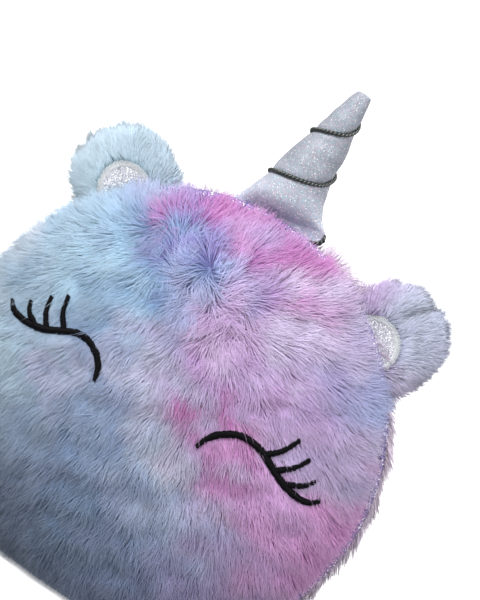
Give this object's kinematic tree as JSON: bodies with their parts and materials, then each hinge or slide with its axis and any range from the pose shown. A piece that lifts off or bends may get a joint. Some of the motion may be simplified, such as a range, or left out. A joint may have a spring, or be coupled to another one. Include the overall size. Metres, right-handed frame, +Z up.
{
  "type": "plush unicorn head",
  "caption": "Round stuffed unicorn head cushion in dyed fur with embroidered closed eyes, folding round ears and a cord-wound glitter horn.",
  "frame": {"origin": "middle of the underside, on the ground, below the middle of the head", "axes": "+Z up towards the horn, the face looks along -Y, +X is the viewer's right when facing it"},
  "size_m": [0.25, 0.12, 0.3205],
  "materials": {
    "dyed_fur": "long-pile plush, blended blue, lilac and pink dye",
    "back_fur": "long-pile plush, pale lilac pink",
    "ear_fur": "long-pile plush, powder blue",
    "piping_glitter": "lavender glitter cloth",
    "horn_glitter": "iridescent white glitter cloth",
    "silver_glitter": "silver white glitter cloth",
    "black_thread": "black satin stitch",
    "silver_thread": "silver grey satin stitch",
    "grey_cord": "twisted metallic grey cord",
    "wadding": "white polyester fibre",
    "backing": "white non-woven backing",
    "sewing_thread": "lilac sewing thread"
  },
  "bodies": {
    "head": {"front_panel": "dyed_fur", "back_panel": "back_fur", "head_stuffing": "wadding", "seam_piping": "piping_glitter", "piping_core": "wadding", "closing_stitches": "sewing_thread", "left_eye": "black_thread", "right_eye": "black_thread", "left_eye_backing": "backing", "right_eye_backing": "backing"},
    "left_ear": {"left_ear_front": "ear_fur", "left_ear_back": "ear_fur", "left_ear_wadding": "wadding", "left_ear_inner": "silver_glitter", "left_ear_border": "silver_thread"},
    "right_ear": {"right_ear_front": "ear_fur", "right_ear_back": "ear_fur", "right_ear_wadding": "wadding", "right_ear_inner": "silver_glitter", "right_ear_border": "silver_thread"},
    "horn": {"horn_cover": "horn_glitter", "horn_stuffing": "wadding", "horn_cord": "grey_cord"}
  },
  "joints": [
    {"name": "left_ear_fold", "type": "hinge", "parent": "head", "child": "left_ear", "pos_m": [-0.0916, 0, 0.21574], "axis": [0.7431, 0, 0.6691], "range_deg": [-50, 50], "stiffness_Nm_per_rad": 0.05},
    {"name": "right_ear_fold", "type": "hinge", "parent": "head", "child": "right_ear", "pos_m": [0.0916, 0, 0.21574], "axis": [0.7431, 0, -0.6691], "range_deg": [-50, 50], "stiffness_Nm_per_rad": 0.05},
    {"name": "horn_tilt", "type": "hinge", "parent": "head", "child": "horn", "pos_m": [-0.0049, 0, 0.2445], "axis": [1, 0, 0], "range_deg": [-25, 25], "stiffness_Nm_per_rad": 0.2}
  ]
}
